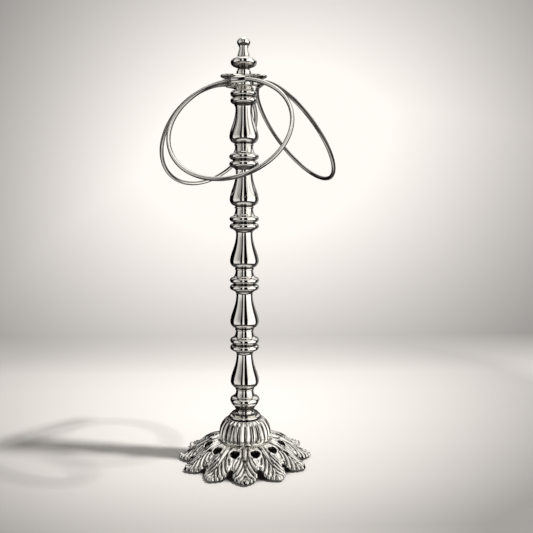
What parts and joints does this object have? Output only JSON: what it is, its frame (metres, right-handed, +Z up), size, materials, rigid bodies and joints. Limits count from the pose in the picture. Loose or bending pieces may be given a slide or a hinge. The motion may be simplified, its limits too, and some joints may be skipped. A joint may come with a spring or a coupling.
{
  "type": "countertop towel ring stand",
  "caption": "Free-standing towel stand for a vanity top: turned baluster column on a cast leaf base, with hinged wire rings hung under a finial for hand towels.",
  "frame": {"origin": "on the column's axis, in the plane of the table the stand rests on", "axes": "+Z up along the column; the first ring leans out towards -Y, sixteen degrees round towards -X"},
  "size_m": [0.2137, 0.2051, 0.5164],
  "materials": {
    "polished_nickel": "polished",
    "zinc_steel": "zinc plated",
    "black_iron": "black lacquered",
    "black_felt": "felt"
  },
  "bodies": {
    "stand": {"collar_1": "polished_nickel", "baluster_1": "polished_nickel", "collar_2": "polished_nickel", "baluster_2": "polished_nickel", "collar_3": "polished_nickel", "baluster_3": "polished_nickel", "collar_4": "polished_nickel", "baluster_4": "polished_nickel", "collar_5": "polished_nickel", "baluster_5": "polished_nickel", "foot_collar": "polished_nickel", "neck_spool": "polished_nickel", "dome_cap": "polished_nickel", "fluted_dome": "polished_nickel", "leaf_base": "polished_nickel", "ballast_disc": "black_iron", "felt_pad": "black_felt", "lock_washer": "zinc_steel", "base_nut": "zinc_steel", "tie_rod": "zinc_steel", "finial_boss": "polished_nickel", "finial_disc": "polished_nickel", "finial_knob": "polished_nickel", "hub_plate": "polished_nickel", "hub_bell": "polished_nickel", "hinge_knuckle_1": "polished_nickel", "hinge_knuckle_2": "polished_nickel", "hinge_knuckle_3": "polished_nickel"},
    "ring_1": {"towel_ring_1": "polished_nickel"},
    "ring_2": {"towel_ring_2": "polished_nickel"},
    "ring_3": {"towel_ring_3": "polished_nickel"}
  },
  "joints": [
    {"name": "ring_1_swing", "type": "hinge", "parent": "stand", "child": "ring_1", "pos_m": [-0.00565, -0.01971, 0.4635], "axis": [-0.9613, 0.2756, 0], "range_deg": [0, 57]},
    {"name": "ring_2_swing", "type": "hinge", "parent": "stand", "child": "ring_2", "pos_m": [-0.01424, 0.01475, 0.4635], "axis": [0.7193, 0.6947, 0], "range_deg": [0, 55]},
    {"name": "ring_3_swing", "type": "hinge", "parent": "stand", "child": "ring_3", "pos_m": [0.01989, 0.00496, 0.4635], "axis": [0.2419, -0.9703, 0], "range_deg": [0, 52]}
  ]
}
